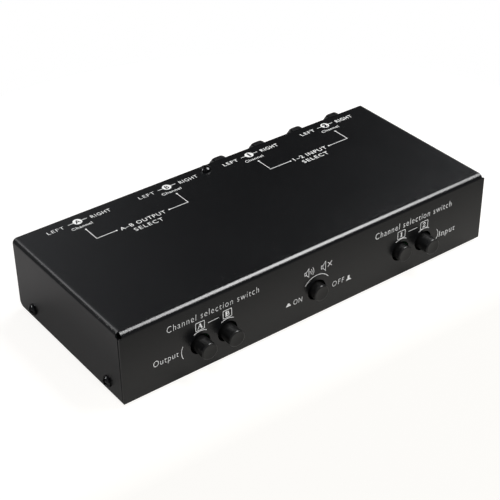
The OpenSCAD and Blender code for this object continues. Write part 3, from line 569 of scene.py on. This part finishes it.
def cap_profile():
    """From the boss behind, round the groove, up the side, over the rim and across the dish.
    The dish is a paraboloid: height = length - dish (1 - (r / rim)^2)."""
    rim = CAP_RADIUS - CAP_EDGE
    groove_top = CAP_LENGTH - GROOVE_FLOOR
    back = [(0, 0), (GROOVE_INNER, 0), (GROOVE_INNER, groove_top), (GROOVE_OUTER, groove_top)]
    back += [(GROOVE_OUTER, 0), (CAP_RADIUS - CHAMFER, 0), (CAP_RADIUS, CHAMFER)]
    edge = arc((rim, CAP_LENGTH - CAP_EDGE), CAP_EDGE, 0, 90, 9)
    r = np.linspace(rim - DISH_INSET, 0, 14)
    face = np.stack([r, CAP_LENGTH - DISH * (1 - (r / rim) ** 2)], axis=-1)
    return MM * np.vstack([back, edge, face])


cap_shape = turned(cap_profile(), CAP_SEGMENTS)
for label in BUTTONS:
    button = f"button_{label}"
    low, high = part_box(button)
    back_centre = ((low.x + high.x) / 2, high.y, (low.z + high.z) / 2)
    cap = placed(cap_shape, back_centre, (1, 0, 0), (0, 0, 1), (0, -1, 0))
    piece(f"cap_{label}", cap, "cap_plastic", [button], button)

# %% [markdown]
# ## Springs
# A return spring stands round each button's stem, between a collar on the stem and the switch, and
# a smaller one stands under each release lever. A rigid solid would be cut by what presses it. Each
# spring is made here as one tube along a helix, and rides on no body.

# %% A coil spring
# The climb slows at both ends, by this share of the length.
END_SLOWING = 8 / 360
WIRE_SIDES, STEPS_A_TURN = 10, 24


def coil_spring(length, outer, wire, turns):
    """A tube along a helix about +Z with flat ends. At the share u of the way, the centre is
    (r cos a, r sin a, z), where z = wire / 2 + (length - wire) (u - slowing sin 2 pi u), and the
    ring round it is centre + wire / 2 (cos b cos a, cos b sin a, sin b)."""
    u = np.linspace(0, 1, turns * STEPS_A_TURN + 1)[:, None]
    a, b = 2 * np.pi * turns * u, -2 * np.pi * np.arange(WIRE_SIDES) / WIRE_SIDES
    climb = (length - wire) * (u - END_SLOWING * np.sin(2 * np.pi * u))
    away = (outer - wire) / 2 + wire / 2 * np.cos(b)
    height = wire / 2 + climb + wire / 2 * np.sin(b)
    rings = np.stack([away * np.cos(a), away * np.sin(a), height], axis=-1)
    rows = len(rings)
    faces = ring_faces(rows, WIRE_SIDES)
    faces += fan_faces(rows * WIRE_SIDES, 0, WIRE_SIDES, True)
    faces += fan_faces(rows * WIRE_SIDES + 1, (rows - 1) * WIRE_SIDES, WIRE_SIDES, False)
    return np.vstack([rings.reshape(-1, 3), rings[[0, -1]].mean(axis=1)]), faces


print("a coil has", STEPS_A_TURN, "steps a turn")

# %% [markdown]
# A spring's place and length come from the box of its CAD node.

# %% Springs in the places of the CAD ones
RETURN_COIL = {"outer": 6.8 * MM, "wire": 0.5 * MM, "turns": 6}
LEVER_COIL = {"outer": 2.2 * MM, "wire": 0.35 * MM, "turns": 5}


def sprung(node, coil, along):
    """A coil in a spring's place, from its end on the case to the end that moves with a body."""
    low, high = (np.array(corner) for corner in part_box(node))
    middle, along, across = (low + high) / 2, np.array(along, float), (1, 0, 0)
    half = along * np.abs(along @ (high - low)) / 2
    length = 2 * np.linalg.norm(half)
    wound = coil_spring(length, **coil)
    shape = placed(wound, middle - half, across, np.cross(along, across), along)
    name = node.replace("spring", "coil")
    made = piece(name, shape, "spring_steel", [node], None)
    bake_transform(made)
    print(name, round(float(length / MM), 2), "mm long")


for label in BUTTONS:
    sprung(f"return_spring_{label}", RETURN_COIL, (0, -1, 0))
for label in ("1_left", "1_right", "2_left", "2_right"):
    sprung(f"lever_spring_{label}", LEVER_COIL, (0, 0, 1))

# %% [markdown]
# ## Screws
# The case screws are pan heads with a cross recess, blackened. The head is a turned dome, round
# enough to mirror a lamp as a spot, and the recess is pressed into it by a height function: two
# crossed wings that get shallower outwards.

# %% Pan heads with a cross recess
# In mm
HEAD_RADIUS, HEAD_HEIGHT, SHANK_RADIUS, SHANK_LENGTH, SHANK_CHAMFER = 3.5, 2.4, 1.75, 6.0, 0.3
# Shares of the head's height, and of its width for the recess's length and width
WALL, RECESS_DEPTH, RECESS_FLOOR = 0.22, 0.8, 0.4
RECESS_LENGTH, RECESS_WIDTH = 0.36, 0.19
# The shares of a wing's width and length over which its wall and its end slope
WALL_SLOPE, END_SLOPE = 0.3, 0.35
HEAD_ROWS, HEAD_SEGMENTS = 40, 96


def cross_recess(length, width, depth, floor):
    """Relief of the recess, above the floor height: -depth x a ramp that ends at the length x a
    soft step on each wing's width."""

    def relief(x, y, z):
        r = np.hypot(x, y)
        near = np.minimum(np.abs(x), np.abs(y))
        wing = np.clip((width / 2 - near) / (WALL_SLOPE * width) + 0.5, 0, 1)
        reach = np.clip((length - r) / (END_SLOPE * length), 0, 1)
        return np.where(z > floor, -depth * wing * wing * (3 - 2 * wing) * reach, 0)

    return relief


def pan_screw():
    """Shank below, then a head: a short wall, and over it half an ellipse, r = R cos a,
    h = wall + dome sin a."""
    wall = WALL * HEAD_HEIGHT
    tip = -SHANK_LENGTH
    shank = [(0, tip), (SHANK_RADIUS - SHANK_CHAMFER, tip), (SHANK_RADIUS, tip + SHANK_CHAMFER)]
    shank += [(SHANK_RADIUS, 0), (HEAD_RADIUS, 0)]
    a = np.linspace(0, np.pi / 2, HEAD_ROWS)
    dome = [HEAD_RADIUS * np.cos(a), wall + (HEAD_HEIGHT - wall) * np.sin(a)]
    profile = MM * np.vstack([shank, np.stack(dome, axis=-1)])
    width, height = 2 * HEAD_RADIUS * MM, HEAD_HEIGHT * MM
    recess = cross_recess(
        RECESS_LENGTH * width, RECESS_WIDTH * width, RECESS_DEPTH * height, RECESS_FLOOR * height
    )
    return turned(profile, HEAD_SEGMENTS, recess)


case_screw = pan_screw()
print("a case screw has", len(case_screw[1]), "faces")

# %% [markdown]
# Two screws stand in each side, in line with the CAD ones. The one in the top has its cross turned
# by an eighth of a turn, as in the photograph.

# %% The case screws
# The sine of 45 degrees
DIAGONAL = 0.707

side_low, side_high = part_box("side_screws")
screw_z = (side_low.z + side_high.z) / 2
screw_y = (side_low.y + HEAD_RADIUS * MM, side_high.y - HEAD_RADIUS * MM)
side_set = gathered(
    [placed(case_screw, (LEFT, y, screw_z), (0, 1, 0), (0, 0, -1), (-1, 0, 0)) for y in screw_y]
    + [placed(case_screw, (RIGHT, y, screw_z), (0, 1, 0), (0, 0, 1), (1, 0, 0)) for y in screw_y]
)
piece("case_screws_side", side_set, "black_screw", ["side_screws"])
top_low, top_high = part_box("top_screw")
top_centre = ((top_low.x + top_high.x) / 2, (top_low.y + top_high.y) / 2, TOP)
top_axes = (DIAGONAL, DIAGONAL, 0), (-DIAGONAL, DIAGONAL, 0), (0, 0, 1)
piece("case_screw_top", placed(case_screw, top_centre, *top_axes), "black_screw", ["top_screw"])

# %% [markdown]
# ## Printed legends
# The legends are screen printed in white: a film of ink a few hundredths of a millimetre thick. All
# of them are worked out flat, with x along the face and y up it, in millimetres, and laid on it at
# the end. Each line is a flat strip carried along a path, and each mark is a filled outline.

# %% Ink: strips and outlines
# Half the film's thickness in mm, and by what share each film is thicker than the one before
INK, THICKER = 0.03, 0.004
# The least cosine that a corner is lengthened for
SHARPEST = 0.4
# In mm: the specks of the ink's tint, the ripples of its skin and their depth
INK_SPECK, INK_RIPPLE, INK_RELIEF = 0.6, 0.3, 0.004


def strip(path, width, closed=False):
    """A rectangle of ink carried along a path: the normals are the path's direction turned a
    quarter, averaged at each point and lengthened at the corners, to keep the width the same."""
    path = np.asarray(path, float)
    before = np.roll(path, 1, axis=0) if closed else np.vstack([2 * path[0] - path[1], path[:-1]])
    after = np.roll(path, -1, axis=0) if closed else np.vstack([path[1:], 2 * path[-1] - path[-2]])
    first = (path - before) / np.linalg.norm(path - before, axis=1)[:, None]
    second = (after - path) / np.linalg.norm(after - path, axis=1)[:, None]
    mean = first + second
    mean /= np.linalg.norm(mean, axis=1)[:, None]
    cosine = np.clip((mean * second).sum(1), SHARPEST, 1)[:, None]
    normal = np.stack([-mean[:, 1], mean[:, 0]], axis=-1) / cosine
    right, left = path - normal * width / 2, path + normal * width / 2
    sides = np.stack([right, right, left, left], axis=1)
    level = np.broadcast_to(np.array([-INK, INK, INK, -INK]), sides.shape[:2])
    points = np.concatenate([sides, level[..., None]], axis=-1).reshape(-1, 3)
    faces = ring_faces(len(path), 4)
    last = 4 * (len(path) - 1)
    if closed:
        faces += [[last + k, last + (k + 1) % 4, (k + 1) % 4, k] for k in range(4)]
    else:
        faces += [[3, 2, 1, 0], [last, last + 1, last + 2, last + 3]]
    return points, [face[::-1] for face in faces]


def filled(outline):
    """An outline, counter-clockwise, that its middle sees whole, as a slab of ink: a fan about that
    middle on each side."""
    outline = np.asarray(outline, float)
    count = len(outline)
    rim = np.vstack([np.c_[outline, np.full(count, -INK)], np.c_[outline, np.full(count, INK)]])
    middle = outline.mean(0)
    points = np.vstack([rim, [[*middle, -INK], [*middle, INK]]])
    faces = ring_faces(2, count)
    faces += fan_faces(2 * count, 0, count, True)
    faces += fan_faces(2 * count + 1, count, count, False)
    return points, faces


def rounded_box(x0, y0, x1, y1, radius):
    """The outline of a rectangle with quarter circles at its corners."""
    left, right, low, high = x0 + radius, x1 - radius, y0 + radius, y1 - radius
    corners = [(right, high, 0), (left, high, 90), (left, low, 180), (right, low, 270)]
    return np.vstack([arc((x, y), radius, a, a + 90, 5) for x, y, a in corners])


def printed(name, shapes, corner, across, upwards, outwards):
    """Shapes in millimetres on a face as one piece. Each film is a hair thicker than the one
    before, so that no two that cross share a plane."""
    layered = [
        (points * [1, 1, 1 + THICKER * count], faces)
        for count, (points, faces) in enumerate(shapes)
    ]
    points, faces = gathered(layered)
    shape = placed((points * MM, faces), corner, across, upwards, outwards)
    piece(name, shape, "cover_paint", (), coat=ink)


ink = finish("white_ink", (0.88, 0.88, 0.87), 0.45)
tinted(ink, noise(ink, INK_SPECK * MM, 3), (0.82, 0.82, 0.81), (0.93, 0.93, 0.92))
grained(ink, noise(ink, INK_RIPPLE * MM, 2), INK_RELIEF * MM)
print("ink film", 2 * INK, "mm thick, half of it in the paint")

# %% [markdown]
# Letters come from Blender's built-in font as a filled curve. It is turned into a mesh at once and
# then treated as any other array of points: welded, slanted, and scaled to the measured box.

# %% Ink: letters
# Steps in each curved stretch of an outline
CURVE_STEPS = 4


def curve_arrays(data):
    """A filled, thickened curve as (points, faces), with the points that lie together welded."""
    holder = bpy.data.objects.new("outline", data)
    bpy.context.scene.collection.objects.link(holder)
    drawn = holder.evaluated_get(bpy.context.evaluated_depsgraph_get())
    mesh = bpy.data.meshes.new_from_object(drawn)
    flat = np.zeros(3 * len(mesh.vertices))
    mesh.vertices.foreach_get("co", flat)
    points, where = np.unique(flat.reshape(-1, 3).round(5), axis=0, return_inverse=True)
    where = where.reshape(-1)
    faces = [where[list(polygon.vertices)].tolist() for polygon in mesh.polygons]
    bpy.data.objects.remove(holder)
    bpy.data.meshes.remove(mesh)
    return points, [face for face in faces if len(set(face)) == len(face)]


def type_curve(text, weight=0.0, spacing=1.0):
    """The font's own outlines of a text, one unit to the line; weight moves them outwards."""
    data = bpy.data.curves.new("type", "FONT")
    data.body, data.offset, data.space_character = text, weight, spacing
    data.resolution_u, data.extrude = CURVE_STEPS, 1.0
    return data


CAPITAL = curve_arrays(type_curve("H"))[0][:, 1].max()


def letters(text, x0, x1, base, height, slant=0.0, weight=0.0, spacing=1.0):
    """Words from x0 to x1 whose capitals are height tall: x = x0 + (u - least u) k, where u is
    sheared by slant."""
    points, faces = curve_arrays(type_curve(text, weight, spacing))
    up = points[:, 1] * height / CAPITAL
    along = points[:, 0] * height / CAPITAL + slant * up
    along = x0 + (along - along.min()) * (x1 - x0) / np.ptp(along)
    return np.stack([along, base + up, INK * np.sign(points[:, 2])], axis=-1), faces


print("capitals are", round(float(CAPITAL), 3), "of a line high in the built-in font")

# %% [markdown]
# Four letters are left out of a white disc. The letter's outlines and the circle then bound one
# filled curve, because crossing an outline turns the ink on or off.

# %% A letter left out of a disc
DISC_CORNERS = 48


def knock_out(text, centre, radius, height, gain):
    """A disc of ink with a letter left out: the circle and the letter's outlines as one filled
    curve, with the ink drawn in all round by gain, which makes the letter bolder."""
    holder = bpy.data.objects.new("letter", type_curve(text))
    bpy.context.scene.collection.objects.link(holder)
    outlines = holder.to_curve(bpy.context.evaluated_depsgraph_get())
    disc = bpy.data.curves.new("disc", "CURVE")
    disc.dimensions, disc.fill_mode = "2D", "BOTH"
    disc.resolution_u, disc.extrude, disc.offset = CURVE_STEPS, 1.0, -gain
    letter = curve_arrays(type_curve(text))[0]
    middle = (letter.max(0) + letter.min(0)) / 2
    for source in outlines.splines:
        count = len(source.bezier_points)
        made = disc.splines.new("BEZIER")
        made.bezier_points.add(count - 1)
        made.use_cyclic_u = True
        for key in ("co", "handle_left", "handle_right"):
            values = np.zeros(3 * count)
            source.bezier_points.foreach_get(key, values)
            level = (values.reshape(-1, 3) - middle) * [1, 1, 0]
            made.bezier_points.foreach_set(key, (level * height / CAPITAL).ravel())
    circle = disc.splines.new("POLY")
    circle.points.add(DISC_CORNERS - 1)
    circle.use_cyclic_u = True
    corners = arc((0, 0), radius + gain, 0, 360 - 360 / DISC_CORNERS, DISC_CORNERS)
    height_and_weight = np.tile([0.0, 1.0], (DISC_CORNERS, 1))
    circle.points.foreach_set("co", np.hstack([corners, height_and_weight]).ravel())
    holder.to_curve_clear()
    bpy.data.objects.remove(holder)
    points, faces = curve_arrays(disc)
    print(text, "left out of a disc", np.ptp(points[:, 0]).round(2), "mm wide")
    x, y = points[:, 0] + centre[0], points[:, 1] + centre[1]
    return np.stack([x, y, INK * np.sign(points[:, 2])], axis=-1), faces


print("knocked-out circles have", DISC_CORNERS, "corners")

# %% [markdown]
# On the front, each pair of buttons has a line of thin words over it, a boxed sign over each button
# with an arc that hugs the cap, and a bracket that joins the pair to its name. The signs are heavy
# letters with feet, drawn stroke by stroke, because the built-in font has none.

# %% The boxed signs
# In mm: the caps' axes over the cover's lower edge, the arcs round the caps, and a sign's box
AXIS_Z = 17.0
HUG_RADIUS, MUTE_ARC_RADIUS = 8.55, 10.2
BOX_WIDTH, BOX_HEIGHT, BOX_CORNER = 5.7, 5.1, 0.4
# Each sign is a list of strokes: a path from the middle of the sign's foot, and a width.
SIGNS = {
    "A": [
        ([(-1.25, 0.15), (-0.05, 3.15)], 0.30),
        ([(0.0, 3.15), (1.15, 0.15)], 0.80),
        ([(-0.8, 1.15), (0.7, 1.15)], 0.28),
        ([(-1.8, 0.11), (-0.7, 0.11)], 0.22),
        ([(0.45, 0.11), (1.8, 0.11)], 0.22),
    ],
    "B": [
        ([(-0.7, 0.1), (-0.7, 3.1)], 1.0),
        (
            [(-1.4, 3.05), (0.2, 3.05), (0.75, 2.9), (0.92, 2.4)]
            + [(0.75, 1.9), (0.2, 1.7), (-0.6, 1.7)],
            0.45,
        ),
        (
            [(-0.6, 1.6), (0.3, 1.6), (0.95, 1.45), (1.15, 0.9)]
            + [(0.95, 0.33), (0.3, 0.15), (-1.4, 0.15)],
            0.45,
        ),
    ],
    "1": [
        ([(0, 0.1), (0, 3.15)], 0.8),
        ([(-0.85, 2.55), (0.1, 3.05)], 0.28),
        ([(-0.9, 0.11), (0.9, 0.11)], 0.24),
    ],
    "2": [
        (
            [(-0.95, 2.2), (-0.85, 2.75), (-0.4, 3.05), (0.15, 3.05)]
            + [(0.7, 2.75), (0.8, 2.25), (0.45, 1.65), (-0.95, 0.35)],
            0.5,
        ),
        ([(-1.2, 0.2), (1.2, 0.2)], 0.5),
    ],
}


def over_button(x, z, label):
    """A boxed sign, and the arc that joins it to the cap below."""
    half = BOX_WIDTH / 2
    frame_line = rounded_box(x - half, z, x + half, z + BOX_HEIGHT, BOX_CORNER)
    box = strip(frame_line, 0.38, closed=True)
    sign = [strip(np.array(path) + [x, z + 1.0], width) for path, width in SIGNS[label]]
    hug = strip(arc((x, AXIS_Z), HUG_RADIUS, 61, 119, 24), 0.4)
    return [box, *sign, hug]


front_shapes = []
for x, z, label in ((49.7, 26.3, "A"), (67.7, 26.3, "B"), (193.7, 26.0, "1"), (211.8, 25.6, "2")):
    front_shapes += over_button(x, z, label)
print(len(front_shapes), "strips for the boxed signs")

# %% [markdown]
# The mute button has an arc, a speaker with and without sound, and ON and OFF, each with a small
# picture of a button: low when it is pressed, tall when it is out.

# %% The front's legends
def bracket(x, bulge, low, high):
    """A shallow arc through (x, low) and (x, high) that bulges sideways: x + bulge (1 - t^2)."""
    t = np.linspace(-1, 1, 20)
    z = (low + high) / 2 + t * (high - low) / 2
    return strip(np.stack([x + bulge * (1 - t**2), z], axis=-1), 0.36)


def speaker(x, z, size):
    """A small box with a horn that opens to the right."""
    horn = [(0, -0.32), (0.38, -0.32), (1.0, -1.0), (1.0, 1.0), (0.38, 0.32), (0, 0.32)]
    throat = [(0.38, -0.32), (0.38, 0.32)]
    outline = strip(np.array(horn) * size + [x, z], 0.32, closed=True)
    return [outline, strip(np.array(throat) * size + [x, z], 0.28)]


def button_picture(x0, x1, z, height):
    """A base plate with sloping ends, and a button on it."""
    middle, edge, base, knob = (x0 + x1) / 2, 0.7, 1.3, 0.75
    right = [(x1, z), (x1 - 0.5, z + edge), (middle + knob, z + base)]
    left = [(middle - knob, z + base), (x0 + 0.5, z + edge)]
    button = rounded_box(middle - knob, z + base - 0.5, middle + knob, z + height, 0.35)
    return [filled([(x0, z), *right, *left]), filled(button)]


# Letters: text, from x to x, foot, height of the capitals, slant, weight, spacing
front_shapes += [
    letters("Channel selection switch", 28.8, 89.0, 33.5, 4.1, 0.05, -0.016, 1.2),
    letters("Channel selection switch", 173.2, 233.4, 32.9, 4.1, 0.05, -0.008, 1.2),
    letters("Output", 19.3, 35.3, 15.2, 3.9, 0.06, -0.014, 1.15),
    letters("Input", 224.9, 237.9, 14.2, 3.9, 0.06, -0.006, 1.15),
    bracket(38.2, -1.0, 12.1, 20.2),
    bracket(222.6, 1.3, 13.6, 20.6),
    strip([(54.8, 28.6), (62.0, 28.8)], 0.3),
    strip([(199.2, 28.5), (206.3, 28.5)], 0.3),
    strip(arc((130, AXIS_Z), MUTE_ARC_RADIUS, 36, 144, 40), 0.36),
    *speaker(121.1, 31.1, 2.9),
    *[strip(arc((123.4, 31.2), r, -36, 36, 8), 0.3) for r in (1.6, 2.9, 4.2)],
    *speaker(133.0, 30.9, 3.1),
    strip([(137.7, 29.5), (140.7, 32.7)], 0.4),
    strip([(137.7, 32.7), (140.7, 29.5)], 0.4),
    letters("ON", 113.2, 119.5, 13.7, 3.4, 0.08, -0.014, 1.15),
    letters("OFF", 141.5, 150.3, 13.7, 3.6, 0.08, -0.018, 1.25),
    *button_picture(107.7, 111.6, 14.4, 2.0),
    *button_picture(151.7, 155.6, 13.5, 3.3),
]
printed("front_legends", front_shapes, (LEFT, FRONT, UNDER), (1, 0, 0), (0, 0, 1), (0, -1, 0))

# %% [markdown]
# On the top, over each pair of sockets, stands a white disc with the channel's letter left out of
# it, between LEFT and RIGHT, and two bent lines lead from the discs to the name of the selector.

# %% The top's legends
# In mm: the lead lines and their dots, a disc, and the height of the letter left out of it
LEAD_WIDTH, DOT_RADIUS, DOT_CORNERS = 0.42, 0.58, 24
DISC_RADIUS, DISC_LETTER = 2.8, 3.3


def channel_mark(x, y, label, weight, gain):
    """LEFT, a disc on a short line, RIGHT, and the word below; weight and gain make them bolder."""
    return [
        letters("LEFT", x - 20.0, x - 9.2, y - 2.0, 2.9, 0, weight - 0.014, 1.15),
        letters("RIGHT", x + 8.7, x + 21.8, y - 1.9, 3.0, 0, weight - 0.004, 1.15),
        letters("Channel", x - 7.0, x + 6.4, y - 6.8, 2.3, 0, 0.004, 1.1),
        strip([(x - 6.3, y - 0.1), (x - 2.6, y - 0.1)], 0.4),
        strip([(x + 2.6, y + 0.1), (x + 6.3, y + 0.1)], 0.4),
        knock_out(label, (x, y), DISC_RADIUS, DISC_LETTER, gain),
    ]


def dot(centre):
    """A small filled circle."""
    return filled(arc(centre, DOT_RADIUS, 0, 360 - 360 / DOT_CORNERS, DOT_CORNERS))


def lead_line(points):
    """A bent line with a round dot at each end."""
    return [strip(points, LEAD_WIDTH), dot(points[0]), dot(points[-1])]


top_shapes = []
for x, y, label in ((38.3, -7.1, "A"), (99.8, -7.1, "B")):
    top_shapes += channel_mark(x, y, label, 0.0, 0.1)
for x, y, label in ((161.4, -6.7, "1"), (222.2, -6.6, "2")):
    top_shapes += channel_mark(x, y, label, 0.018, 0.4)
top_shapes += lead_line([(38.1, -16.9), (38.1, -28.7), (51.2, -28.7)])
top_shapes += lead_line([(100.5, -16.8), (100.5, -28.6), (87.2, -28.6)])
top_shapes += lead_line([(161.6, -16.3), (161.6, -28.4), (177.0, -28.4)])
top_shapes += lead_line([(222.8, -16.3), (222.8, -28.2), (207.6, -28.2)])
top_shapes += [
    letters("A–B OUTPUT", 53.6, 84.3, -30.4, 3.1, 0, -0.003, 1.15),
    letters("SELECT", 59.7, 79.0, -35.9, 3.1, 0, -0.005, 1.2),
    letters("1–2 INPUT", 179.5, 205.2, -30.0, 3.2, 0, 0.006, 1.15),
    letters("SELECT", 182.3, 202.0, -35.6, 3.2, 0, 0.006, 1.2),
]
printed("top_legends", top_shapes, (LEFT, REAR, TOP), (1, 0, 0), (0, 1, 0), (0, 0, 1))

# %% [markdown]
# ## The closing lines
# The size of what is shown is written beside the CAD model's, so the two can be compared.

# %% Sizes and the last checks
shown_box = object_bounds()
beyond = np.array(shown_box) - np.array(cad_box)
print("shown minus CAD in mm:", (beyond / MM).round(3).tolist())

bpy.context.scene.view_settings.view_transform = "Standard"
